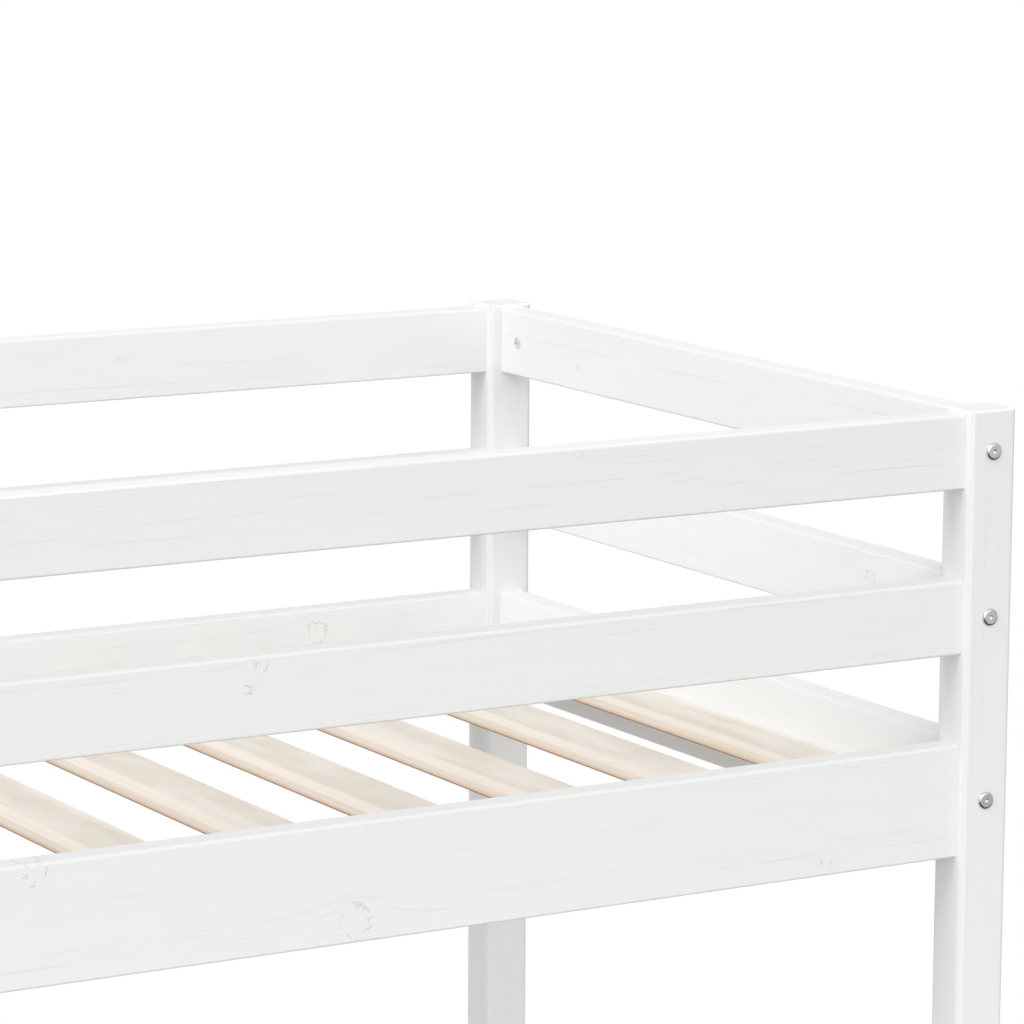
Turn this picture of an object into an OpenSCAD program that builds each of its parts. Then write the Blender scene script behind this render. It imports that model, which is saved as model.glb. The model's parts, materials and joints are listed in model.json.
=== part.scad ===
// Bunk bed with a fixed ladder, in white painted pine with bare pine slats.
// X runs along the length, -Y is the ladder side, and Z is up from the floor.
// The origin is on the floor, at the middle of the whole bed's footprint.

/* [Sleeping space] */
// Clear length between the two end frames
inner_len = 2010; // [1910:10:2110]
// Clear width between the long rails
inner_width = 914; // [814:10:1014]
// Height of the upper side rails' lower edge
upper_base = 1150; // [1080:5:1250]
// Height of the lower side rails' lower edge
lower_base = 280; // [230:5:320]

/* [Posts] */
// Post size along the bed
post_x = 56; // [50:1:70]
// Post size across the bed
post_y = 48; // [48:1:60]
// Radius of a post's upright corners
post_r = 6; // [3:0.5:10]
// How far a post stands above the top rail
post_proud = 4; // [0:1:20]

/* [Rails] */
// Thickness of every rail
rail_t = 30; // [27:1:34]
// Radius of the rails' long edges
rail_r = 2.5; // [1:0.5:4]
// Height of a guard rail
guard_h = 75; // [70:1:85]
// Height of a side rail that carries slats
side_h = 115; // [100:1:140]
// Open gap between rails
rail_gap = 92.5; // [70:0.5:95]
// Long rails sit this far back from the posts' faces
side_inset = 9; // [6:1:12]
// End rails sit this far back from the posts' faces
end_inset = 10; // [6:1:14]

/* [Slats] */
// Number of slats in each bunk
slat_count = 13; // [11:1:14]
// Slat width along the bed
slat_w = 78; // [60:1:90]
// Slat thickness
slat_t = 12; // [10:1:20]
// Drop from a side rail's top to the slats' top
slat_drop = 55; // [40:1:65]
// Height of the ledger batten under the slats
ledger_h = 30; // [25:1:35]
// Depth of the ledger batten
ledger_d = 35; // [30:1:45]

/* [Ladder] */
// Clear width between the stiles
ladder_clear = 340; // [300:10:345]
// Stile thickness along the bed
stile_w = 30; // [28:1:40]
// Stile and rung depth
stile_d = 60; // [50:1:80]
// Number of rungs below the upper side rail
rung_count = 5; // [4:1:5]
// Rung thickness
rung_t = 30; // [28:1:36]
// Gap between the left stile and the corner post
stile_gap = 8; // [6:1:20]

/* [Fasteners] */
// Diameter of a connector bolt's head
head_d = 18; // [14:0.5:20]
// Height of a bolt head
head_h = 2.8; // [2.4:0.1:4]
// Radius of the round rim of a bolt head
head_round = 2.4; // [1:0.1:2.4]
// Bolt shank diameter
bolt_d = 6; // [5:1:8]
// Barrel nut diameter
nut_d = 14; // [10:0.5:15]
// Barrel nut length
nut_len = 20; // [14:1:22]
// From a rail's end to the middle of its barrel nut
nut_set = 35; // [25:1:40]
// Dowel diameter
dowel_d = 8; // [6:1:10]

/* [Hidden] */
$fn = 48;
UPPER_SLATS = [for (i = [1:slat_count]) str("upper_slat_", i)];
RUNGS = [for (i = [1:rung_count]) str("ladder_rung_", i)];

// Colours
white_paint = [0.94, 0.94, 0.93];
bare_pine = [0.90, 0.80, 0.64];
zinc = [0.72, 0.73, 0.74];
beech = [0.80, 0.66, 0.46];

// Overall sizes. The ladder stands in front of the posts, and the bolt heads stand proud.
bed_len = inner_len + 2 * (rail_t + end_inset);
bed_w = inner_width + 2 * (rail_t + side_inset);
stile_proud = stile_d - side_inset;
bed_y = stile_proud / 2;
between_posts_x = bed_len - 2 * post_x;
between_posts_y = bed_w - 2 * post_y;

// A level is the [lower edge, height] of a ring of rails
UPPER = [upper_base, side_h];
MID = [upper_base + side_h + rail_gap, guard_h];
TOP = [MID[0] + guard_h + rail_gap, guard_h];
LOWER = [lower_base, side_h];
LOWER_GUARD = [lower_base + side_h + rail_gap, guard_h];
END_LEVELS = [LOWER, LOWER_GUARD, UPPER, MID, TOP];
LONG_LEVELS = [LOWER, UPPER, MID, TOP];
LADDER_CORNER_LEVELS = [LOWER, UPPER];
post_h = TOP[0] + guard_h + post_proud;
post_end_r = 2.7;

// Fastener places, measured from a post's outer corner. The end rails' bolts run along Y at the
// middle of each rail, and the long rails' bolts run along X above and below them.
end_bolt_x = 28;
end_rail_x = end_inset + rail_t / 2;
side_rail_y = side_inset + rail_t / 2;
side_bolt_spread = 28;
guard_bolt_rise = 15;
tall_rail_dowel = 34;
guard_rail_dowel = 20;

// Clearances and depths of the drilled holes
bore_d = bolt_d + 1;
nut_hole_d = nut_d + 0.4;
nut_hole_depth = 24;
nut_sink = 0.8;
bolt_past = 10;
dowel_hole_d = dowel_d + 0.3;
dowel_hole_depth = 18;
dowel_len = 34;
cut = 1;

// Ladder places
stile_back_y = bed_y - bed_w / 2 + side_inset;
stile_front_y = stile_back_y - stile_d;
stile_left_x = -bed_len / 2 + post_x + stile_gap;
rung_x = stile_left_x + stile_w;
stile_right_x = rung_x + ladder_clear;
stile_top = TOP[0] + guard_h;
stile_r = 4;
rung_d = stile_d - 6;
rung_nut_set = 20;
rung_dowel_spread = 17;
ladder_bolt_drop = 44;
sleeve_d = 9;
sleeve_len = 22;
sleeve_bore_d = bolt_d + 0.5;
sleeve_hole_d = sleeve_d + 0.4;

// Slat and screw sizes
slat_len = between_posts_y - 4;
slat_pitch = (inner_len - slat_w) / (slat_count - 1);
slat_edge_r = 1.5;
ledger_len = between_posts_x - 8;
slat_screw_y = slat_len / 2 - 12;
screw_d = 3.8;
screw_head_d = 7.6;
screw_head_h = 3;
screw_play = 0.3;
slat_screw_len = 30;
ledger_screw_len = 55;
// Ledger screws sit under these gaps between slats
LEDGER_SCREW_GAPS = [0, 2, 4, slat_count - 6, slat_count - 4, slat_count - 2];

function tall(level) = level[1] > guard_h;
function middle(level) = level[0] + level[1] / 2;
function top_of(level) = level[0] + level[1];
function slat_top(level) = top_of(level) - slat_drop;
function side_bolt_heights(level) = tall(level)
    ? [middle(level) - side_bolt_spread, middle(level) + side_bolt_spread]
    : [middle(level) + guard_bolt_rise];
function side_dowel_heights(level) = tall(level)
    ? [middle(level)]
    : [middle(level) - guard_bolt_rise];
function end_dowel_heights(level) =
    let (spread = tall(level) ? tall_rail_dowel : guard_rail_dowel)
    [middle(level) - spread, middle(level) + spread];
function rung_top(i) = top_of(UPPER) * i / (rung_count + 1);
function slat_left(i) = -inner_len / 2 + i * slat_pitch;
function slat_middle(i) = slat_left(i) + slat_w / 2;
function long_levels(right, back) = !right && !back ? LADDER_CORNER_LEVELS : LONG_LEVELS;
// Heights of the ladder's bolts on each stile
function stile_bolt_heights(right) = concat(
    [for (level = [LOWER, UPPER]) top_of(level) - ladder_bolt_drop],
    right ? [middle(MID), middle(TOP)] : []);
function stile_x(right) = right ? stile_right_x : stile_left_x;

// ---- Basic shapes ----

// A rectangle with round corners, made of true arcs
module rounded_rect(w, h, r) {
    translate([r, 0]) square([w - 2 * r, h]);
    translate([0, r]) square([w, h - 2 * r]);
    for (x = [r, w - r], y = [r, h - r]) translate([x, y]) circle(r);
}

// A board along +X, with its section in Y and Z
module board_x(length, depth, height, r) {
    rotate([90, 0, 90]) linear_extrude(length) rounded_rect(depth, height, r);
}

// A board along +Y, with its section in X and Z
module board_y(length, depth, height, r) {
    translate([0, length, 0]) rotate([90, 0, 0])
        linear_extrude(length) rounded_rect(depth, height, r);
}

// An upright with round corners and softened edges at both ends
module upright(w, d, h, r, end_r) {
    intersection() {
        linear_extrude(h) rounded_rect(w, d, r);
        board_y(d, w, h, end_r);
        board_x(w, d, h, end_r);
    }
}

// Round bars along +X and +Y
module bar_x(d, length) {
    rotate([0, 90, 0]) cylinder(d = d, h = length);
}
module bar_y(d, length) {
    rotate([-90, 0, 0]) cylinder(d = d, h = length);
}

// Puts children, drawn for the front left corner with the post's outer corner at [0, 0, 0],
// at any corner of the bed
module at_corner(right, back) {
    translate([0, bed_y, 0])
        mirror([right ? 1 : 0, 0, 0])
        mirror([0, back ? 1 : 0, 0])
        translate([-bed_len / 2, -bed_w / 2, 0])
        children();
}

// ---- Posts ----

module post(right, back) {
    long = long_levels(right, back);
    color(white_paint) at_corner(right, back) difference() {
        upright(post_x, post_y, post_h, post_r, post_end_r);
        for (level = END_LEVELS) {
            translate([end_bolt_x, -cut, middle(level)]) bar_y(bore_d, post_y + 2 * cut);
            for (z = end_dowel_heights(level))
                translate([end_rail_x, post_y - dowel_hole_depth, z])
                    bar_y(dowel_hole_d, dowel_hole_depth + cut);
        }
        for (level = long) {
            for (z = side_bolt_heights(level))
                translate([-cut, side_rail_y, z]) bar_x(bore_d, post_x + 2 * cut);
            for (z = side_dowel_heights(level))
                translate([post_x - dowel_hole_depth, side_rail_y, z])
                    bar_x(dowel_hole_d, dowel_hole_depth + cut);
        }
    }
}

// ---- Rails ----

// Holes in the end of a long rail. The nut goes in from the rail's rear face.
module long_rail_holes(level, back) {
    nut_face_y = back ? side_inset - cut : side_inset + rail_t - nut_hole_depth;
    for (z = side_bolt_heights(level)) {
        translate([post_x - cut, side_rail_y, z]) bar_x(bore_d, cut + nut_set + bolt_past + 2);
        translate([post_x + nut_set, nut_face_y, z]) bar_y(nut_hole_d, nut_hole_depth + cut);
    }
    for (z = side_dowel_heights(level))
        translate([post_x - cut, side_rail_y, z]) bar_x(dowel_hole_d, dowel_hole_depth + cut);
}

// Holes in the end of an end rail. The nut goes in from inside the bed.
module end_rail_holes(level) {
    translate([end_bolt_x, post_y - cut, middle(level)])
        bar_y(bore_d, cut + nut_set + bolt_past + 2);
    translate([end_inset + rail_t - nut_hole_depth, post_y + nut_set, middle(level)])
        bar_x(nut_hole_d, nut_hole_depth + cut);
    for (z = end_dowel_heights(level))
        translate([end_rail_x, post_y - cut, z]) bar_y(dowel_hole_d, dowel_hole_depth + cut);
}

// Holes through a front rail for the ladder's sleeve nuts
module sleeve_holes(right, z) {
    translate([stile_x(right) + stile_w / 2, stile_back_y - cut, z])
        bar_y(sleeve_hole_d, rail_t + 2 * cut);
}

module long_rail(level, back) {
    rail_y = back ? bed_y + bed_w / 2 - side_inset - rail_t : stile_back_y;
    color(white_paint) difference() {
        translate([-between_posts_x / 2, rail_y, level[0]])
            board_x(between_posts_x, rail_t, level[1], rail_r);
        for (right = [false, true]) at_corner(right, back) long_rail_holes(level, back);
        if (!back) for (right = [false, true])
            sleeve_holes(right, top_of(level) - ladder_bolt_drop);
        if (tall(level)) at_ledger_screws(level, back) screw_hole(ledger_screw_len + cut);
    }
}

// A front guard rail stops at the ladder's right stile, which leaves the way in
module front_guard(level) {
    color(white_paint) difference() {
        translate([stile_right_x, stile_back_y, level[0]])
            board_x(between_posts_x / 2 - stile_right_x, rail_t, level[1], rail_r);
        at_corner(true, false) long_rail_holes(level, false);
        sleeve_holes(true, middle(level));
    }
}

module end_rail(level, right) {
    color(white_paint) difference() {
        at_corner(right, false) translate([end_inset, post_y, level[0]])
            board_y(between_posts_y, rail_t, level[1], rail_r);
        for (back = [false, true]) at_corner(right, back) end_rail_holes(level);
    }
}

// ---- Slats and their ledgers ----

// Places children at each end of one slat, where its screws go
module at_slat_screws(i, level) {
    for (side = [-1, 1])
        translate([slat_middle(i), bed_y + side * slat_screw_y, slat_top(level)]) children();
}

// A countersunk hole that points down from the face at z = 0
module screw_hole(length) {
    shank_d = screw_d + screw_play;
    translate([0, 0, -length]) cylinder(d = shank_d, h = length + cut);
    translate([0, 0, -screw_head_h])
        cylinder(d1 = shank_d, d2 = screw_head_d + screw_play, h = screw_head_h);
    cylinder(d = screw_head_d + screw_play, h = cut);
}

module slat(i, level) {
    color(bare_pine) difference() {
        translate([slat_left(i), bed_y - slat_len / 2, slat_top(level) - slat_t])
            board_y(slat_len, slat_w, slat_t, slat_edge_r);
        at_slat_screws(i, level) screw_hole(slat_t + cut);
    }
}

module lower_slats() {
    for (i = [0:slat_count - 1]) slat(i, LOWER);
}

// Places children where a ledger's own screws go, pointing into the side rail
module at_ledger_screws(level, back) {
    z = slat_top(level) - slat_t - ledger_h / 2;
    for (i = LEDGER_SCREW_GAPS)
        translate([slat_middle(i) + slat_pitch / 2, bed_y, z])
            mirror([0, back ? 1 : 0, 0])
            translate([0, ledger_d - inner_width / 2, 0])
            rotate([-90, 0, 0])
            children();
}

module ledger(level, back) {
    color(bare_pine) difference() {
        translate([0, bed_y, 0]) mirror([0, back ? 1 : 0, 0])
            translate([-ledger_len / 2, -inner_width / 2, slat_top(level) - slat_t - ledger_h])
            board_x(ledger_len, ledger_d, ledger_h, slat_edge_r);
        at_ledger_screws(level, back) screw_hole(ledger_d + cut);
        for (i = [0:slat_count - 1]) at_slat_screws(i, level) screw_hole(slat_screw_len + cut);
    }
}

// ---- Ladder ----

module stile(right) {
    color(white_paint) difference() {
        translate([stile_x(right), stile_front_y, 0])
            upright(stile_w, stile_d, stile_top, stile_r, post_end_r);
        for (z = stile_bolt_heights(right))
            translate([stile_x(right) + stile_w / 2, stile_front_y - cut, z])
                bar_y(bore_d, stile_d + 2 * cut);
        for (i = [1:rung_count]) {
            translate([stile_x(right) - cut, rung_axis_y(), rung_top(i) - rung_t / 2])
                bar_x(bore_d, stile_w + 2 * cut);
            at_rung_dowels(i, right) bar_x(dowel_hole_d, dowel_hole_depth + cut);
        }
    }
}

function rung_axis_y() = stile_back_y - rung_d / 2;

// Puts children at a rung's end joints, with +X pointing out of the rung into the stile
module at_rung_end(i, right) {
    translate([right ? stile_right_x : rung_x, rung_axis_y(), rung_top(i) - rung_t / 2])
        mirror([right ? 0 : 1, 0, 0])
        children();
}

// The dowels beside each rung bolt
module at_rung_dowels(i, right) {
    at_rung_end(i, right)
        for (side = [-1, 1]) translate([0, side * rung_dowel_spread, 0]) children();
}

module ladder_rung(i) {
    z = rung_top(i) - rung_t;
    color(white_paint) difference() {
        translate([rung_x, stile_back_y - rung_d, z]) board_x(ladder_clear, rung_d, rung_t, stile_r);
        for (right = [false, true]) {
            at_rung_end(i, right) {
                translate([-rung_nut_set - bolt_past - 2, 0, 0])
                    bar_x(bore_d, rung_nut_set + bolt_past + 2 + cut);
                translate([-rung_nut_set, 0, -rung_t / 2 - cut])
                    cylinder(d = nut_hole_d, h = nut_hole_depth + cut);
            }
            at_rung_dowels(i, right) translate([-dowel_hole_depth, 0, 0])
                bar_x(dowel_hole_d, dowel_hole_depth + cut);
        }
    }
}

// ---- Fasteners ----

// Half the section of a bolt head: a flat face with a wide round rim
module head_section() {
    square([head_d / 2 - head_round, head_h]);
    square([head_d / 2, head_h - head_round]);
    intersection() {
        translate([head_d / 2 - head_round, head_h - head_round]) circle(head_round);
        square([head_d / 2, head_h]);
    }
}

// A connector bolt along +Z, with its head below z = 0 and a hex socket in the head
module bolt(length) {
    socket_across = 4.6;
    socket_depth = 2.2;
    color(zinc) difference() {
        union() {
            cylinder(d = bolt_d, h = length);
            mirror([0, 0, 1]) rotate_extrude() head_section();
        }
        translate([0, 0, -head_h - cut])
            cylinder(d = socket_across, h = socket_depth + cut, $fn = 6);
    }
}

// A barrel nut along -Z from its slotted face, with its cross hole along X at the given depth
module barrel_nut(hole_depth) {
    slot_w = 1.4;
    slot_depth = 1.6;
    color(zinc) difference() {
        translate([0, 0, -nut_len]) cylinder(d = nut_d, h = nut_len);
        translate([-nut_d, 0, -hole_depth]) bar_x(bolt_d + 0.6, 2 * nut_d);
        translate([-nut_d, -slot_w / 2, -slot_depth]) cube([2 * nut_d, slot_w, slot_depth + cut]);
    }
}

// A dowel along +X, centred, with chamfered ends
module dowel() {
    chamfer = 1;
    end_d = dowel_d - 2 * chamfer;
    straight = dowel_len - 2 * chamfer;
    color(beech) rotate([0, 90, 0]) {
        translate([0, 0, -straight / 2]) cylinder(d = dowel_d, h = straight);
        translate([0, 0, straight / 2]) cylinder(d1 = dowel_d, d2 = end_d, h = chamfer);
        translate([0, 0, -dowel_len / 2]) cylinder(d1 = end_d, d2 = dowel_d, h = chamfer);
    }
}

// A countersunk wood screw that points down from the face at z = 0
module wood_screw(length) {
    recess_w = 1.1;
    recess_l = 4;
    recess_depth = 1.6;
    color(zinc) difference() {
        union() {
            translate([0, 0, -length]) cylinder(d = screw_d, h = length - screw_head_h);
            translate([0, 0, -screw_head_h])
                cylinder(d1 = screw_d, d2 = screw_head_d, h = screw_head_h);
        }
        for (turn = [0, 90]) rotate([0, 0, turn])
            translate([-recess_l / 2, -recess_w / 2, -recess_depth])
            cube([recess_l, recess_w, recess_depth + cut]);
    }
}

// A sleeve nut along -Z: a flat head above z = 0 and a bored sleeve below it
module sleeve_nut() {
    slot_w = 1.6;
    slot_depth = 1.2;
    color(zinc) difference() {
        union() {
            translate([0, 0, -sleeve_len]) cylinder(d = sleeve_d, h = sleeve_len);
            cylinder(d1 = head_d, d2 = head_d - 2, h = head_h);
        }
        translate([0, 0, -sleeve_len - cut]) cylinder(d = sleeve_bore_d, h = sleeve_len + cut);
        translate([-head_d, -slot_w / 2, head_h - slot_depth])
            cube([2 * head_d, slot_w, slot_depth + cut]);
    }
}

module each_corner() {
    for (right = [false, true], back = [false, true]) {
        $right = right;
        $back = back;
        at_corner(right, back) children();
    }
}

module end_rail_bolts() {
    each_corner() for (level = END_LEVELS)
        translate([end_bolt_x, 0, middle(level)])
            rotate([-90, 0, 0]) bolt(post_y + nut_set + bolt_past);
}

module side_rail_bolts() {
    each_corner() for (level = long_levels($right, $back), z = side_bolt_heights(level))
        translate([0, side_rail_y, z]) rotate([0, 90, 0]) bolt(post_x + nut_set + bolt_past);
}

module barrel_nuts() {
    end_face_x = end_inset + rail_t - nut_sink;
    mid_depth = rail_t / 2 - nut_sink;
    each_corner() {
        for (level = END_LEVELS)
            translate([end_face_x, post_y + nut_set, middle(level)])
                rotate([0, 90, 0]) rotate([0, 0, 90]) barrel_nut(end_face_x - end_bolt_x);
        for (level = long_levels($right, $back), z = side_bolt_heights(level))
            translate([post_x + nut_set, side_rail_y, z])
                rotate([$back ? 90 : -90, 0, 0])
                translate([0, 0, mid_depth]) barrel_nut(mid_depth);
    }
}

module frame_dowels() {
    each_corner() {
        for (level = END_LEVELS, z = end_dowel_heights(level))
            translate([end_rail_x, post_y, z]) rotate([0, 0, 90]) dowel();
        for (level = long_levels($right, $back), z = side_dowel_heights(level))
            translate([post_x, side_rail_y, z]) dowel();
    }
}

module ladder_mount_bolts() {
    for (right = [false, true], z = stile_bolt_heights(right))
        translate([stile_x(right) + stile_w / 2, stile_front_y, z])
            rotate([-90, 0, 0]) bolt(stile_d + rail_t - 4);
}

module ladder_sleeve_nuts() {
    for (right = [false, true], z = stile_bolt_heights(right))
        translate([stile_x(right) + stile_w / 2, stile_back_y + rail_t, z])
            rotate([-90, 0, 0]) sleeve_nut();
}

module rung_bolts() {
    for (i = [1:rung_count], right = [false, true])
        at_rung_end(i, right) translate([stile_w, 0, 0])
            rotate([0, -90, 0]) bolt(stile_w + rung_nut_set + bolt_past);
}

module rung_barrel_nuts() {
    for (i = [1:rung_count], right = [false, true])
        at_rung_end(i, right) translate([-rung_nut_set, 0, nut_sink - rung_t / 2])
            mirror([0, 0, 1]) barrel_nut(rung_t / 2 - nut_sink);
}

module rung_dowels() {
    for (i = [1:rung_count], right = [false, true]) at_rung_dowels(i, right) dowel();
}

module slat_screws(level) {
    for (i = [0:slat_count - 1]) at_slat_screws(i, level) wood_screw(slat_screw_len);
}

module ledger_screws() {
    for (level = [UPPER, LOWER], back = [false, true])
        at_ledger_screws(level, back) wood_screw(ledger_screw_len);
}

// ---- Nodes ----

post(true, false);  // post_front_right
post(false, false);  // post_front_left
post(true, true);  // post_back_right
post(false, true);  // post_back_left
front_guard(TOP);  // front_guard_top
front_guard(MID);  // front_guard_mid
long_rail(UPPER, false);  // front_side_rail_upper
long_rail(LOWER, false);  // front_side_rail_lower
long_rail(TOP, true);  // back_guard_top
long_rail(MID, true);  // back_guard_mid
long_rail(UPPER, true);  // back_side_rail_upper
long_rail(LOWER, true);  // back_side_rail_lower
end_rail(TOP, true);  // right_end_guard_top
end_rail(MID, true);  // right_end_guard_mid
end_rail(UPPER, true);  // right_end_rail_upper
end_rail(LOWER_GUARD, true);  // right_end_guard_lower
end_rail(LOWER, true);  // right_end_rail_lower
end_rail(TOP, false);  // left_end_guard_top
end_rail(MID, false);  // left_end_guard_mid
end_rail(UPPER, false);  // left_end_rail_upper
end_rail(LOWER_GUARD, false);  // left_end_guard_lower
end_rail(LOWER, false);  // left_end_rail_lower
stile(true);  // ladder_stile_right
stile(false);  // ladder_stile_left
for (i = [1:rung_count])
    ladder_rung(i);
ledger(UPPER, false);  // ledger_upper_front
ledger(UPPER, true);  // ledger_upper_back
ledger(LOWER, false);  // ledger_lower_front
ledger(LOWER, true);  // ledger_lower_back
for (i = [1:slat_count])
    slat(i - 1, UPPER);
lower_slats();
end_rail_bolts();
side_rail_bolts();
barrel_nuts();
frame_dowels();
ladder_mount_bolts();
ladder_sleeve_nuts();
rung_bolts();
rung_barrel_nuts();
rung_dowels();
slat_screws(UPPER);  // upper_slat_screws
slat_screws(LOWER);  // lower_slat_screws
ledger_screws();
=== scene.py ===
import json
import math
import random

import bpy
import bmesh
from mathutils import Matrix, Vector


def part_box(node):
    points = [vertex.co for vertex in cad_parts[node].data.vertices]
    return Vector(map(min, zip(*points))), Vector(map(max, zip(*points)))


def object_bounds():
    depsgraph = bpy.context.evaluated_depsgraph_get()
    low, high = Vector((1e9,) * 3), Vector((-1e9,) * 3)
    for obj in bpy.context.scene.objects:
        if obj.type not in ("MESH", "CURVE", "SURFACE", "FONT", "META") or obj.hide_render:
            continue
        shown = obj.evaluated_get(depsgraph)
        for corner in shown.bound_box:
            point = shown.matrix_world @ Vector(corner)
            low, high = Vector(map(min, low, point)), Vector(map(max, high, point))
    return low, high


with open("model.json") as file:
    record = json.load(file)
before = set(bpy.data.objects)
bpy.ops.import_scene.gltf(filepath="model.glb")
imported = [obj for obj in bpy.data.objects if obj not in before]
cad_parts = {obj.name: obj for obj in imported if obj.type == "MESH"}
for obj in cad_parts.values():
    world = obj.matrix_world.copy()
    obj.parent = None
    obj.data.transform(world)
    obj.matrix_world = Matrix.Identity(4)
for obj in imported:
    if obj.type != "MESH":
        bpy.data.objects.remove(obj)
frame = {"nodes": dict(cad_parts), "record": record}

cad_low, cad_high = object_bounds()
scene = bpy.context.scene
scene.view_settings.view_transform = "Standard"

# ---- Shader helpers ----

def wire(tree, socket, value):
    """Links an output into a socket, or sets the socket when the value is a plain one."""
    if isinstance(value, bpy.types.NodeSocket):
        tree.links.new(value, socket)
    else:
        socket.default_value = value


def math_node(tree, operation, *values):
    node = tree.nodes.new("ShaderNodeMath")
    node.operation = operation
    for socket, value in zip(node.inputs, values):
        wire(tree, socket, value)
    return node.outputs[0]


def add(tree, *values):
    total = values[0]
    for value in values[1:]:
        total = math_node(tree, "ADD", total, value)
    return total


def times(tree, *values):
    product = values[0]
    for value in values[1:]:
        product = math_node(tree, "MULTIPLY", product, value)
    return product


def weigh(tree, *pairs):
    """The sum of the values, each times its weight, from (value, weight) pairs."""
    return add(tree, *(times(tree, value, weight) for value, weight in pairs))


def length(tree, first, second):
    """The square root of the sum of two squares."""
    squares = math_node(tree, "MULTIPLY_ADD", second, second, times(tree, first, first))
    return math_node(tree, "SQRT", squares)


def step(tree, value, start, end, low=0.0, high=1.0):
    """Goes smoothly from low to high while the value goes from start to end."""
    node = tree.nodes.new("ShaderNodeMapRange")
    node.interpolation_type = "SMOOTHSTEP"
    for socket, number in zip(node.inputs, (value, start, end, low, high)):
        wire(tree, socket, number)
    return node.outputs[0]


def combine(tree, x, y, z):
    node = tree.nodes.new("ShaderNodeCombineXYZ")
    for socket, value in zip(node.inputs, (x, y, z)):
        wire(tree, socket, value)
    return node.outputs[0]


def separate(tree, vector):
    node = tree.nodes.new("ShaderNodeSeparateXYZ")
    wire(tree, node.inputs[0], vector)
    return node.outputs[:3]


def vector_node(tree, operation, first, second):
    node = tree.nodes.new("ShaderNodeVectorMath")
    node.operation = operation
    wire(tree, node.inputs[0], first)
    wire(tree, node.inputs[1], second)
    return node.outputs[0]


def noise(tree, vector, stretch, detail=2.0, roughness=0.5):
    """Noise from 0 to 1. stretch is how many blobs there are to the metre along each axis."""
    node = tree.nodes.new("ShaderNodeTexNoise")
    wire(tree, node.inputs["Vector"], vector_node(tree, "MULTIPLY", vector, stretch))
    node.inputs["Scale"].default_value = 1.0
    node.inputs["Detail"].default_value = detail
    node.inputs["Roughness"].default_value = roughness
    return node.outputs["Fac"]


def scatter(tree, value):
    """A random number from 0 to 1 that belongs to the value."""
    node = tree.nodes.new("ShaderNodeTexWhiteNoise")
    node.noise_dimensions = "1D"
    wire(tree, node.inputs["W"], value)
    return node.outputs["Value"]


def blend(tree, factor, first, second):
    """A colour between first and second."""
    node = tree.nodes.new("ShaderNodeMix")
    node.data_type = "RGBA"
    wire(tree, node.inputs[0], factor)
    wire(tree, node.inputs[6], first)
    wire(tree, node.inputs[7], second)
    return node.outputs[2]


def make_group(name, inputs, outputs):
    """An empty node group with float sockets. Returns its tree, its inputs and its output node."""
    tree = bpy.data.node_groups.new(name, "ShaderNodeTree")
    for socket in inputs:
        tree.interface.new_socket(name=socket, in_out="INPUT", socket_type="NodeSocketFloat")
    for socket in outputs:
        tree.interface.new_socket(name=socket, in_out="OUTPUT", socket_type="NodeSocketFloat")
    start = tree.nodes.new("NodeGroupInput")
    end = tree.nodes.new("NodeGroupOutput")
    return tree, start.outputs, end.inputs


def use_group(tree, group, **values):
    node = tree.nodes.new("ShaderNodeGroup")
    node.node_tree = group
    for name, value in values.items():
        wire(tree, node.inputs[name], value)
    return node.outputs


def new_material(name):
    """A material with only its Principled shader. Returns it, its tree and the shader's inputs."""
    material = bpy.data.materials.new(name)
    material.use_nodes = True
    tree = material.node_tree
    return material, tree, tree.nodes["Principled BSDF"].inputs


def set_relief(tree, shader, height):
    """Bumps the surface by a height in metres."""
    bump = tree.nodes.new("ShaderNodeBump")
    bump.inputs["Strength"].default_value = 1.0
    bump.inputs["Distance"].default_value = 1.0
    wire(tree, bump.inputs["Height"], height)
    wire(tree, shader["Normal"], bump.outputs["Normal"])


def object_position(tree):
    return tree.nodes.new("ShaderNodeTexCoord").outputs["Object"]


FLAT_COSINE = 0.97  # to the nearest axis, where a flat face turns into a rounded edge
ROUND_COSINE = 0.72  # and along the middle of the rounded edge


def rounding(tree):
    """1 along the rounded edges, where the surface faces none of the three axes, and else 0."""
    normal = separate(tree, tree.nodes.new("ShaderNodeTexCoord").outputs["Normal"])
    sizes = [math_node(tree, "ABSOLUTE", part) for part in normal]
    biggest = math_node(tree, "MAXIMUM", math_node(tree, "MAXIMUM", sizes[0], sizes[1]), sizes[2])
    return step(tree, biggest, ROUND_COSINE, FLAT_COSINE, 1.0, 0.0)


# ---- Camera and studio ----

CAMERA_FROM_POST = Vector((-2.805, -3.763, 0.688))  # from the near post's outer top corner
CAMERA_YAW = math.radians(30.566)
CAMERA_PITCH = math.radians(-9.682)
CAMERA_ROLL = math.radians(0.37)
CAMERA_LENS = 166.8

BACKDROP_COLOUR = (1.0, 1.0, 1.0, 1.0)
LIGHT_COLOUR = (0.997, 1.0, 1.003)
DOME_DOWN = 0.03  # strength of the light from well under the horizon
DOME_LOW = 0.66  # just under the horizon
DOME_SIDES = 0.525  # from the horizon up to about 30 degrees
DOME_UP = 0.80  # from further up
DOWN_TO_LOW = (-0.42, -0.18)  # heights on a dome of radius 1 between which the strength changes
SIDES_TO_UP = (0.4, 0.6)
HORIZON = (-0.03, 0.03)

LIGHT_TARGET = 0.8  # height that the soft lights face, as a share of the bed's
LIGHT_DISTANCE = 16.0
SOFT_LIGHTS = (  # name, direction from the bed, size in metres and power in watts
    ("key", (-1.0, -0.19, 1.0), 8.5, 1280),
    ("front_left", (-0.7, -1.0, 0.35), 9.6, 478),
    ("front_high", (-0.35, -1.0, 0.9), 9.6, 320),
    ("front_right", (0.3, -1.0, 0.25), 9.6, 488),
)

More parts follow.
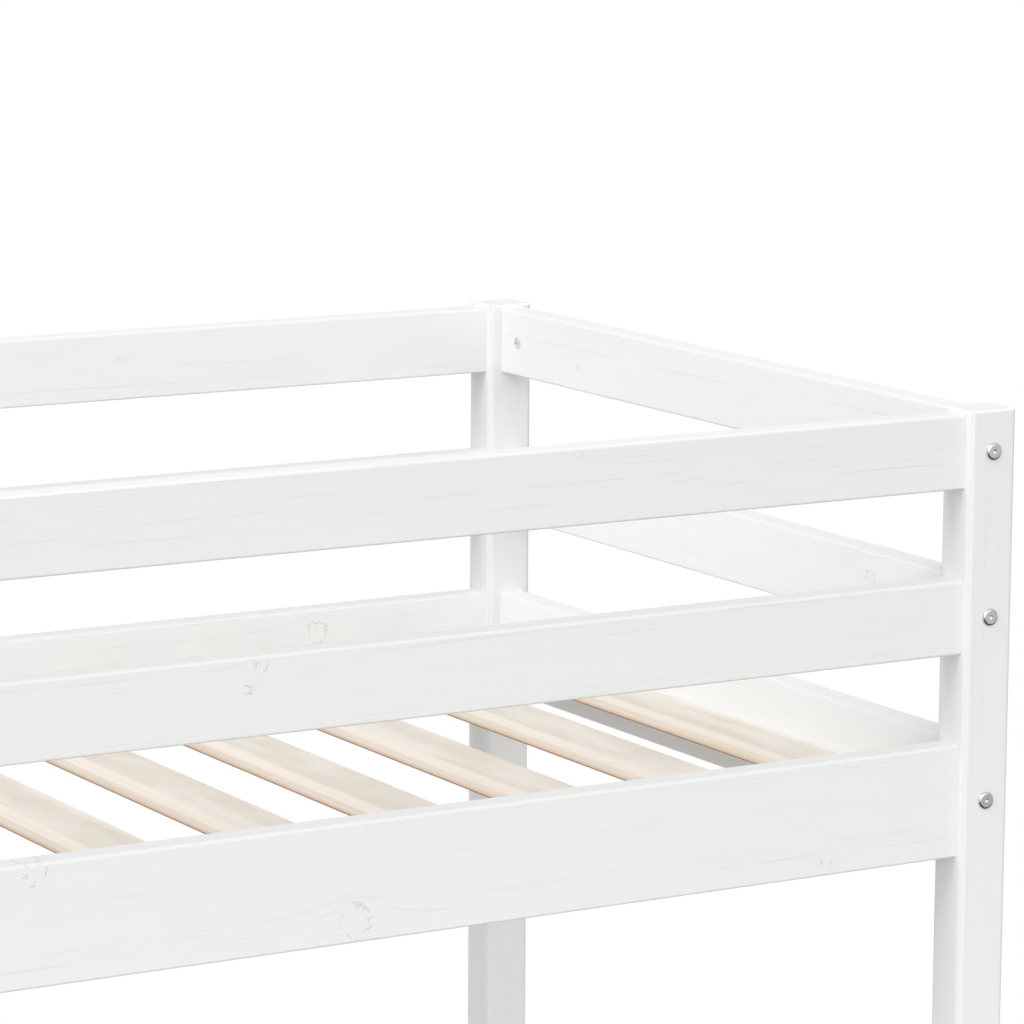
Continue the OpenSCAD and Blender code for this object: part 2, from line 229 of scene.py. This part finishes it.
FLOOR_RADIUS = 3.1
FLOOR_FADE = 1.2  # the floor's outer ring, which fades into the backdrop
FLOOR_COLOUR = (0.72, 0.715, 0.705, 1.0)
FLOOR_MOTTLE = 0.97  # how dark its darker spots are beside that
FLOOR_SEGMENTS = 96
FLOOR_DROP = 0.0005  # keeps the floor's top just clear of the feet


def make_camera():
    """Puts the camera where the reference view was taken from."""
    low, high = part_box("post_front_right")
    camera = bpy.data.objects.new("camera", bpy.data.cameras.new("camera"))
    scene.collection.objects.link(camera)
    camera.data.lens = CAMERA_LENS
    turn = Matrix.Rotation(-CAMERA_YAW, 4, "Z") @ Matrix.Rotation(math.pi / 2 + CAMERA_PITCH, 4, "X")
    camera.matrix_world = turn @ Matrix.Rotation(CAMERA_ROLL, 4, "Z")
    camera.location = Vector((high.x, low.y, high.z)) + CAMERA_FROM_POST
    scene.camera = camera


def make_softbox(name, towards, size, power):
    """A square area light that faces the middle of the upper bunk from the given direction."""
    target = Vector((0, 0, cad_high.z * LIGHT_TARGET))
    light = bpy.data.lights.new(name, "AREA")
    light.shape = "SQUARE"
    light.size = size
    light.energy = power
    light.color = LIGHT_COLOUR
    lamp = bpy.data.objects.new(name, light)
    scene.collection.objects.link(lamp)
    direction = Vector(towards).normalized()
    lamp.location = target + direction * LIGHT_DISTANCE
    lamp.rotation_mode = "QUATERNION"
    lamp.rotation_quaternion = direction.to_track_quat("Z", "Y")
    lamp.visible_camera = False


def make_dome():
    """A soft dome that is dark only well under the horizon. The camera sees a white backdrop."""
    scene.world = bpy.data.worlds.new("studio")
    scene.world.use_nodes = True
    tree = scene.world.node_tree
    dome = tree.nodes["Background"]
    dome.inputs["Color"].default_value = LIGHT_COLOUR + (1.0,)
    direction = tree.nodes.new("ShaderNodeTexCoord").outputs["Generated"]
    height = separate(tree, direction)[2]
    lower = step(tree, height, *DOWN_TO_LOW, DOME_DOWN, DOME_LOW)
    upper = step(tree, height, *SIDES_TO_UP, DOME_SIDES, DOME_UP)
    strength = weigh(tree, (lower, step(tree, height, *HORIZON, 1.0, 0.0)),
                     (upper, step(tree, height, *HORIZON)))
    wire(tree, dome.inputs["Strength"], strength)
    backdrop = tree.nodes.new("ShaderNodeBackground")
    backdrop.inputs["Color"].default_value = BACKDROP_COLOUR
    path = tree.nodes.new("ShaderNodeLightPath")
    mix = tree.nodes.new("ShaderNodeMixShader")
    tree.links.new(path.outputs["Is Camera Ray"], mix.inputs[0])
    tree.links.new(dome.outputs[0], mix.inputs[1])
    tree.links.new(backdrop.outputs[0], mix.inputs[2])
    tree.links.new(mix.outputs[0], tree.nodes["World Output"].inputs["Surface"])


# ---- Timber ----

RING_GAP = 0.0046  # mean width of a growth ring
RING_DRIFT = 0.016  # how far the rings wander
RING_RIPPLE = 0.0016  # how far they ripple
RING_SPREAD = 2.2  # how many rings their spacing varies by
SEED_SHIFT = 3.7  # metres along the tree between whole seeds
KNOT_SQUEEZE = 0.8  # of the distance along the board, which makes knots longer that way
KNOT_WOBBLE = (0.65, 1.4)  # factors on the distance from a knot's middle, which make it uneven
KNOT_BULGE = 1.2  # how far a knot pushes the rings out, in radii
KNOT_FALLOFF = 0.10  # how fast that falls off
FAR_FROM_KNOTS = 9.0  # a distance, in radii, at which no knot shows
SEED_RANGE = (0, 40)
PITH_ASIDE = (1.0, 1.6)  # place of the pith across the board, in half widths
PITH_CLEAR = (0.02, 0.05)  # and its distance from the board's face, in metres


def make_ring_group():
    """Growth rings round a pith line that runs along the board, with fibres and tone streaks.

    along, wide and thin are metres from the pith, and bulge pushes the rings out round a knot.
    """
    tree, given, result = make_group(
        "growth_rings", ["along", "wide", "thin", "bulge", "seed"], ["late", "tone", "fibre"])
    shift = times(tree, given["seed"], SEED_SHIFT)
    place = combine(tree, add(tree, given["along"], shift), given["wide"], given["thin"])
    drift = add(tree, noise(tree, place, (1.3, 5, 5), 1.0), -0.5)
    ripple = add(tree, noise(tree, place, (11, 60, 60), 2.0), -0.5)
    radius = length(tree, given["wide"], given["thin"])
    radius = add(tree, radius, times(tree, drift, RING_DRIFT), times(tree, ripple, RING_RIPPLE),
                 given["bulge"])
    spread = noise(tree, combine(tree, radius, shift, 0.0), (90, 1, 1), 1.0)
    ring = add(tree, times(tree, radius, 1 / RING_GAP), times(tree, spread, RING_SPREAD))
    phase = math_node(tree, "FRACT", ring)
    strength = scatter(tree, add(tree, math_node(tree, "FLOOR", ring), shift))
    rise = step(tree, phase, 0.35, 0.93)
    fall = step(tree, phase, 0.95, 1.0, 1.0, 0.0)
    slope = math_node(tree, "DIVIDE", math_node(tree, "ABSOLUTE", given["wide"]), radius)
    late = times(tree, rise, fall, step(tree, strength, 0.0, 1.0, 0.3, 1.0),
                 step(tree, slope, 0.2, 0.5, 0.4, 1.0))
    wire(tree, result["late"], late)
    wire(tree, result["tone"], noise(tree, place, (1.6, 28, 28), 3.0))
    wire(tree, result["fibre"], noise(tree, place, (16, 800, 800), 2.0, 0.6))
    return tree


def make_knot_group():
    """A knot: a round branch that runs through the board along (out_wide, out_thin).

    wide and thin are metres from a point on its middle line. distance is 0 on that line and 1 at
    the bark, and bulge pushes the growth rings out round the knot.
    """
    tree, given, result = make_group(
        "knot", ["along", "wide", "thin", "at", "out_wide", "out_thin", "radius", "seed"],
        ["distance", "bulge"])
    lengthwise = times(tree, add(tree, given["along"], times(tree, given["at"], -1.0)), KNOT_SQUEEZE)
    across = add(tree, times(tree, given["wide"], given["out_thin"]),
                 times(tree, given["thin"], given["out_wide"], -1.0))
    place = combine(tree, math_node(tree, "DIVIDE", given["along"], given["radius"]),
                    math_node(tree, "DIVIDE", given["wide"], given["radius"]), given["seed"])
    wobble = step(tree, noise(tree, place, (1.2, 1.2, 1), 2.0), 0.2, 0.8, *KNOT_WOBBLE)
    distance = math_node(tree, "DIVIDE", length(tree, lengthwise, across), given["radius"])
    falloff = math_node(tree, "EXPONENT", times(tree, distance, distance, -KNOT_FALLOFF))
    wire(tree, result["distance"], times(tree, distance, wobble))
    wire(tree, result["bulge"], times(tree, falloff, given["radius"], KNOT_BULGE))
    return tree


RINGS = make_ring_group()
KNOT = make_knot_group()


class Board:
    """Where one board's length, width and thickness lie, from its box."""

    def __init__(self, node, seed):
        low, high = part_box(node)
        size = high - low
        order = sorted(range(3), key=lambda axis: -size[axis])
        self.along, self.wide, self.thin = order
        self.half = [size[axis] / 2 for axis in order]
        self.middle = (low + high) / 2
        self.draw = random.Random(seed)
        self.seed = self.draw.uniform(*SEED_RANGE)
        side = self.draw.choice((-1, 1))
        self.pith_wide = self.draw.choice((-1, 1)) * self.draw.uniform(*PITH_ASIDE) * self.half[1]
        self.pith_thin = side * (self.half[2] + self.draw.uniform(*PITH_CLEAR))

    def local(self, tree):
        """The place along, across and through the board, in metres from its middle."""
        place = vector_node(tree, "SUBTRACT", object_position(tree), tuple(self.middle))
        parts = separate(tree, place)
        return parts[self.along], parts[self.wide], parts[self.thin]


def timber(tree, board, knots):
    """Rings and knots of a board. Each knot is (place along, place across, radius) on the board's
    face towards -X, -Y or -Z, with the places from -1 to 1. Returns the ring group's outputs and
    the distance to the nearest knot.
    """
    along, wide, thin = board.local(tree)
    bulge = 0.0
    nearest = FAR_FROM_KNOTS
    for index, (place_along, place_wide, radius) in enumerate(knots):
        at_wide = place_wide * board.half[1]
        at_thin = -board.half[2]
        out = Vector(((at_wide - board.pith_wide) / 2, at_thin - board.pith_thin)).normalized()
        knot = use_group(tree, KNOT, along=along, wide=add(tree, wide, -at_wide),
                         thin=add(tree, thin, -at_thin), at=place_along * board.half[0],
                         out_wide=out.x, out_thin=out.y, radius=radius, seed=board.seed + index)
        bulge = add(tree, bulge, knot["bulge"])
        nearest = math_node(tree, "MINIMUM", nearest, knot["distance"])
    rings = use_group(tree, RINGS, along=along, wide=add(tree, wide, -board.pith_wide),
                      thin=add(tree, thin, -board.pith_thin), bulge=bulge, seed=board.seed)
    return rings, nearest


KNOT_TURNS = 3.1  # how many fine rings there are in a distance of two radii


def knot_marks(tree, nearest, place):
    """The broken line of a knot's bark, the fine rings in and round it, and its heart's cracks."""
    broken = step(tree, noise(tree, place, (110, 150, 150), 3.0, 0.6), 0.44, 0.58)
    bark = times(tree, step(tree, nearest, 0.84, 0.98), step(tree, nearest, 1.0, 1.2, 1.0, 0.0))
    inner = step(tree, nearest, 1.7, 2.3, 1.0, 0.0)
    turns = step(tree, math_node(tree, "PINGPONG", times(tree, nearest, KNOT_TURNS), 1.0), 0.6, 1.0)
    heart = step(tree, nearest, 0.85, 1.1, 1.0, 0.0)
    cracks = step(tree, noise(tree, place, (260, 140, 140), 1.0), 0.58, 0.70)
    return times(tree, bark, broken), times(tree, inner, turns, broken), times(tree, heart, cracks)


# ---- White paint over pine ----

PAINT = (0.817, 0.816, 0.814, 1.0)
PAINT_END_PAINTED_LIGHT = (0.827, 0.831, 0.836, 1.0)  # painted light: cooler, to cancel the warm light off the slats
# painted light: a touch paler and cooler on the boards at the back
PAINT_BACK_PAINTED_LIGHT = (0.820, 0.823, 0.827, 1.0)
PAINT_SHADE_PAINTED_LIGHT = (0.854, 0.861, 0.869, 1.0)  # painted light: paler, to lift the shade beside the slats
PAINT_LINE = (0.57, 0.565, 0.56, 1.0)
PAINT_KNOT = (0.56, 0.555, 0.545, 1.0)
# Painted shade: the rounded edges are painted darker to tone down their highlights
PAINT_EDGE_SHADE = (0.70, 0.698, 0.693, 1.0)
PAINT_THIN = (0.76, 0.73, 0.68, 1.0)
POST_EDGE_SHADE = 0.45  # how much of the painted edge shade the posts' rounded edges show
# how much of the painted edge shade the rails' rounded edges show
RAIL_EDGE_SHADE = 0.85
WORN_TONE = 0.25  # how much of PAINT_THIN the worn edges show
LINE_TONE, DASH_TONE, STREAK_TONE = 0.26, 0.05, 0.03  # how much of PAINT_LINE the grain shows
BARK_TONE, TURNS_TONE, CRACKS_TONE = 0.36, 0.14, 0.08  # how much of PAINT_KNOT a knot shows
PAINT_ROUGHNESS = (0.46, 0.56)
PAINT_SPECULAR = 0.3


def painted_light_paint(node):
    """The paint of a board, paler and cooler where it faces into the bunk: painted light against the
    shade there.
    """
    if node.endswith(("end_guard_mid", "end_rail_upper", "back_guard_mid", "back_side_rail_upper")):
        return PAINT_SHADE_PAINTED_LIGHT
    if "_end_" in node:
        return PAINT_END_PAINTED_LIGHT
    return PAINT_BACK_PAINTED_LIGHT if "back_" in node else PAINT


def white_paint(node, seed, knots):
    """Satin paint that lets a little of the grain, the knots and the worn edges through. Its
    rounded edges are painted darker, a painted shade that tones down their highlights.
    """
    edge_shade_tone = POST_EDGE_SHADE if node.startswith("post") else RAIL_EDGE_SHADE
    material, tree, shader = new_material("paint_" + node)
    board = Board(node, seed)
    along, wide, thin = board.local(tree)
    place = combine(tree, along, wide, thin)
    rings, nearest = timber(tree, board, knots)
    late, tone, fibre = rings["late"], rings["tone"], rings["fibre"]
    bark, turns, cracks = knot_marks(tree, nearest, place)
    shown = step(tree, noise(tree, place, (9, 70, 70), 2.0), 0.42, 0.62)
    line = times(tree, math_node(tree, "POWER", late, 6.0), shown)
    dashes = step(tree, noise(tree, place, (9, 330, 330), 2.0), 0.62, 0.74)
    patch = noise(tree, place, (35, 120, 120), 3.0)
    edge = rounding(tree)
    worn = times(tree, edge, step(tree, patch, 0.5, 0.75))
    grain = add(tree, weigh(tree, (line, LINE_TONE), (dashes, DASH_TONE)),
                step(tree, tone, 0.3, 0.8, 0.0, STREAK_TONE))
    knot = weigh(tree, (bark, BARK_TONE), (turns, TURNS_TONE), (cracks, CRACKS_TONE))
    # the paint carries painted light: paler and cooler on the boards in the bunk's shade
    colour = blend(tree, grain, painted_light_paint(node), PAINT_LINE)
    colour = blend(tree, knot, colour, PAINT_KNOT)
    # painted shade along the rounded edges
    colour = blend(tree, times(tree, edge, edge_shade_tone), colour, PAINT_EDGE_SHADE)
    colour = blend(tree, times(tree, worn, WORN_TONE), colour, PAINT_THIN)
    wire(tree, shader["Base Color"], colour)
    peel = noise(tree, place, (650, 650, 650), 1.0)
    roughness = add(tree, step(tree, tone, 0.2, 0.8, *PAINT_ROUGHNESS), times(tree, peel, 0.08),
                    times(tree, worn, -0.08))
    wire(tree, shader["Roughness"], roughness)
    shader["Specular IOR Level"].default_value = PAINT_SPECULAR
    set_relief(tree, shader, weigh(tree, (line, -0.00010), (fibre, 0.00003), (bark, -0.00030),
                                   (turns, -0.00008), (cracks, -0.00012), (peel, 0.000007)))
    return material


# ---- Bare pine ----

PINE_PALE = (0.785, 0.737, 0.68, 1.0)
PINE_BEIGE = (0.68, 0.625, 0.54, 1.0)
PINE_SAP = (0.83, 0.76, 0.675, 1.0)
PINE_LATE = (0.66, 0.49, 0.33, 1.0)
# painted shade: the orange down a slat's lower sides and on its upper arris
PINE_SHADE_ORANGE = (0.69, 0.51, 0.36, 1.0)
PINE_KNOT = (0.36, 0.20, 0.10, 1.0)
# painted shade: the dark brown line along a slat's lower edge
PINE_EDGE_SHADE = (0.42, 0.20, 0.11, 1.0)
PINE_ROUGHNESS = 0.6


def pine_look(tree, shader, place, rings, nearest, sap=0.0, warm=0.0, edge=0.0):
    """Colours and relief of planed pine. place runs along, across and through the board. sap is
    1 in the pale outer wood with its close rings, warm is how much of the painted orange shade
    it shows, and edge is how much of the painted dark brown edge shade.
    """
    late, tone, fibre = rings["late"], rings["tone"], rings["fibre"]
    bark, turns, cracks = knot_marks(tree, nearest, place)
    blotch = noise(tree, place, (9, 26, 26), 2.0)
    close = step(tree, noise(tree, place, (2.5, 430, 430), 1.0), 0.52, 0.66)
    pale = step(tree, weigh(tree, (tone, 0.55), (blotch, 0.45)), 0.38, 0.62)
    colour = blend(tree, pale, PINE_BEIGE, PINE_PALE)
    colour = blend(tree, times(tree, late, 0.22), colour, PINE_LATE)
    outer = blend(tree, times(tree, close, 0.30), PINE_SAP, PINE_LATE)
    colour = blend(tree, times(tree, sap, 0.92), colour, outer)
    colour = blend(tree, step(tree, fibre, 0.55, 0.85, 0.0, 0.12), colour, PINE_LATE)
    # painted shade on the slats' sides and lower edge
    colour = blend(tree, warm, colour, PINE_SHADE_ORANGE)
    colour = blend(tree, edge, colour, PINE_EDGE_SHADE)
    knot = weigh(tree, (bark, 0.7), (turns, 0.3), (cracks, 0.5))
    colour = blend(tree, knot, colour, PINE_KNOT)
    wire(tree, shader["Base Color"], colour)
    roughness = add(tree, weigh(tree, (fibre, 0.14), (late, -0.1)), PINE_ROUGHNESS)
    wire(tree, shader["Roughness"], roughness)
    set_relief(tree, shader, weigh(tree, (late, 0.00003), (fibre, 0.00005), (bark, -0.0002),
                                   (cracks, -0.0002)))


def bare_pine(node, seed, knots):
    """Planed pine on a single board."""
    material, tree, shader = new_material("pine_" + node)
    board = Board(node, seed)
    along, wide, thin = board.local(tree)
    place = combine(tree, along, wide, thin)
    rings, nearest = timber(tree, board, knots)
    pine_look(tree, shader, place, rings, nearest)
    return material


SAP_WIDTH = 0.019  # width of the pale outer wood along a slat's left edge
SAP_DRIFT = 0.008  # how far its border wanders
SAP_BLUR = 0.0015  # half the width over which it changes
SHADE_WARM_DEPTH = 0.0055  # how far down a slat's sides the painted orange shade starts
SHADE_EDGE_DEPTH = 0.0095  # how far down the painted dark shade along the lower edge starts
SIDE_START = 0.003  # how far in from a slat's sides its painted shades begin to change
SIDE_FULL = 0.001  # and where they have changed in full
SHADE_WARM_TONE, SHADE_EDGE_TONE, SHADE_ARRIS_TONE = 0.85, 0.9, 0.25  # how strong the sides' painted shades are
SHADE_ARRIS_SLOPE = 150.0  # to the metre, how fast the painted orange shade on the upper arris fades down the side
SECOND_DRAW = 57.0
SLAT_SHIFT = 40.0  # metres along the tree, at most, between the slats' places in it
SLAT_SEED = 35.0
SLAT_PITH_ASIDE = (-0.05, -0.09)  # metres from the pith, across and down through a slat
SLAT_PITH_DEEP = (0.045, 0.08)


def slat_pine(name, top):
    """One pine for every slat of a bunk. Each slat is cut from its own place in the tree."""
    material, tree, shader = new_material(name)
    first_low, first_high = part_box("upper_slat_1")
    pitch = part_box("upper_slat_2")[0].x - first_low.x
    half = (first_high.x - first_low.x) / 2
    x, y, z = separate(tree, object_position(tree))
    offset = add(tree, x, half - first_high.x)
    index = math_node(tree, "ROUND", times(tree, offset, 1 / pitch))
    wide = add(tree, offset, times(tree, index, -pitch))
    depth = math_node(tree, "SUBTRACT", top, z)
    pick = scatter(tree, add(tree, index, top * 10))
    side = scatter(tree, add(tree, index, SECOND_DRAW))
    place = combine(tree, add(tree, y, times(tree, pick, SLAT_SHIFT)), wide, depth)
    pith_wide = add(tree, wide, step(tree, side, 0.0, 1.0, *SLAT_PITH_ASIDE))
    pith_thin = add(tree, times(tree, depth, -1.0), step(tree, pick, 0.0, 1.0, *SLAT_PITH_DEEP))
    rings = use_group(tree, RINGS, along=y, wide=pith_wide, thin=pith_thin, bulge=0.0,
                      seed=times(tree, pick, SLAT_SEED))
    drift = add(tree, noise(tree, combine(tree, pick, y, 0.0), (90, 3, 1)), -0.5)
    border = add(tree, wide, half - SAP_WIDTH, times(tree, drift, SAP_DRIFT))
    sap = step(tree, border, -SAP_BLUR, SAP_BLUR, 1.0, 0.0)
    outer = step(tree, math_node(tree, "ABSOLUTE", wide), half - SIDE_START, half - SIDE_FULL)
    # painted shade: orange down the sides' lower part, and on the upper arris against its highlight
    warm = times(tree, outer, step(tree, depth, SHADE_WARM_DEPTH, SHADE_WARM_DEPTH + 0.004), SHADE_WARM_TONE)
    # painted shade: a dark brown line along the slat's lower edge
    edge = times(tree, outer, step(tree, depth, SHADE_EDGE_DEPTH, SHADE_EDGE_DEPTH + 0.001), SHADE_EDGE_TONE)
    arris = step(tree, add(tree, outer, times(tree, depth, -SHADE_ARRIS_SLOPE)), 0.5, 1.0, 0.0, SHADE_ARRIS_TONE)
    warm = math_node(tree, "MAXIMUM", warm, arris)
    pine_look(tree, shader, place, rings, FAR_FROM_KNOTS, sap, warm, edge)
    return material


# ---- Zinc and beech ----

BOLT_ZINC = (0.64, 0.80, 0.16)  # dark and pale grey, and the least roughness
NUT_ZINC = (0.80, 0.92, 0.45)
BEECH_LIGHT = (0.72, 0.55, 0.37, 1.0)
BEECH_DARK = (0.60, 0.42, 0.26, 1.0)
BEECH_FLECK = (0.42, 0.26, 0.15, 1.0)


def zinc_steel(name, dark, pale, smooth):
    """Zinc plated steel between two greys, with fine scratches and a faint cloudiness."""
    material, tree, shader = new_material(name)
    place = object_position(tree)
    cloud = noise(tree, place, (140, 140, 140), 3.0)
    scratch = noise(tree, place, (2600, 2600, 350), 2.0)
    wire(tree, shader["Base Color"], blend(tree, cloud, (dark, dark, dark, 1), (pale, pale, pale, 1)))
    wire(tree, shader["Roughness"], add(tree, weigh(tree, (cloud, 0.14), (scratch, 0.10)), smooth))
    shader["Metallic"].default_value = 1.0
    set_relief(tree, shader, times(tree, scratch, 0.00001))
    return material


def beech():
    """Beech dowels, with short darker flecks along the grain."""
    material, tree, shader = new_material("beech")
    place = object_position(tree)
    fleck = step(tree, noise(tree, place, (900, 900, 900), 2.0), 0.55, 0.7)
    tone = noise(tree, place, (60, 60, 60), 3.0)
    colour = blend(tree, tone, BEECH_LIGHT, BEECH_DARK)
    wire(tree, shader["Base Color"], blend(tree, times(tree, fleck, 0.3), colour, BEECH_FLECK))
    wire(tree, shader["Roughness"], add(tree, times(tree, fleck, 0.1), 0.55))
    set_relief(tree, shader, times(tree, fleck, -0.00003))
    return material


# ---- Floor ----

def floor_material():
    """Pale matt floor that fades into the backdrop at its rim."""
    material, tree, shader = new_material("floor")
    x, y = separate(tree, object_position(tree))[:2]
    grain = noise(tree, combine(tree, x, y, 0.0), (40, 40, 40), 3.0)
    darker = tuple(FLOOR_MOTTLE * part for part in FLOOR_COLOUR[:3]) + (1.0,)
    wire(tree, shader["Base Color"], blend(tree, grain, FLOOR_COLOUR, darker))
    shader["Roughness"].default_value = 0.8
    rim = step(tree, length(tree, x, y), FLOOR_RADIUS - FLOOR_FADE, FLOOR_RADIUS, 1.0, 0.0)
    wire(tree, shader["Alpha"], rim)
    return material


def make_floor():
    """A round floor under the bed."""
    mesh = bpy.data.meshes.new("floor")
    build = bmesh.new()
    bmesh.ops.create_circle(build, cap_ends=True, radius=FLOOR_RADIUS, segments=FLOOR_SEGMENTS)
    build.to_mesh(mesh)
    build.free()
    mesh.materials.append(floor_material())
    floor = bpy.data.objects.new("floor", mesh)
    scene.collection.objects.link(floor)
    floor.location.z = cad_low.z - FLOOR_DROP
    floor.visible_glossy = False


# ---- Materials on the CAD nodes ----

# Knots that are plain to see: (place along, place across, radius), with the places from -1 to 1
KNOTS = {
    "front_guard_mid": [(0.018, 0.75, 0.005), (0.0, 0.20, 0.003), (-0.6, -0.3, 0.008)],
    "front_side_rail_upper": [(0.304, -0.65, 0.012), (-0.025, 0.85, 0.009), (0.84, -0.85, 0.005),
                              (-0.5, 0.1, 0.009)],
    "front_guard_top": [(0.44, 0.8, 0.003), (-0.5, -0.4, 0.006)],
    "back_side_rail_upper": [(0.775, 0.55, 0.010), (-0.3, -0.2, 0.007)],
    "back_guard_top": [(0.526, 0.2, 0.0035), (-0.4, 0.4, 0.007)],
    "right_end_guard_top": [(0.62, -0.3, 0.003)],
    "right_end_guard_mid": [(-0.68, 0.2, 0.006)],
}


KNOT_SEED = 100  # added to a board's seed for its random knots
KNOT_RADII = (0.005, 0.009)
LONG_BOARD = 0.5


def random_knots(seed, board_length):
    """A few knots for a board that has none listed."""
    draw = random.Random(seed + KNOT_SEED)
    count = draw.choice((1, 2, 3)) if board_length > LONG_BOARD else draw.choice((0, 1))
    return [(draw.uniform(-0.9, 0.9), draw.uniform(-0.8, 0.8), draw.uniform(*KNOT_RADII))
            for _ in range(count)]


def dress(node, material):
    """Gives a CAD node its material."""
    for slot in node.material_slots:
        slot.material = material


def dress_nodes():
    """Gives every CAD node the material of its slot, cut afresh for each board."""
    slots = {part["node"]: part["material_slot"] for part in frame["record"]["subparts"]}
    shared = {"zinc_steel": zinc_steel("zinc_steel", *BOLT_ZINC), "beech": beech()}
    nut_zinc = zinc_steel("zinc_steel_nuts", *NUT_ZINC)
    upper_slats = slat_pine("upper_slat_pine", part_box("upper_slat_1")[1].z)
    lower_slats = slat_pine("lower_slat_pine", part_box("lower_slats")[1].z)
    for seed, (name, node) in enumerate(sorted(frame["nodes"].items())):
        low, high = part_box(name)
        knots = KNOTS.get(name) or random_knots(seed, max(high - low))
        if name.endswith("_nuts"):
            dress(node, nut_zinc)
        elif slots[name] in shared:
            dress(node, shared[slots[name]])
        elif slots[name] == "white_paint":
            dress(node, white_paint(name, seed, knots))
        elif name == "lower_slats":
            dress(node, lower_slats)
        elif name.startswith("upper_slat_"):
            dress(node, upper_slats)
        else:
            dress(node, bare_pine(name, seed, knots))


make_camera()
make_dome()
for soft_light in SOFT_LIGHTS:
    make_softbox(*soft_light)
make_floor()
dress_nodes()
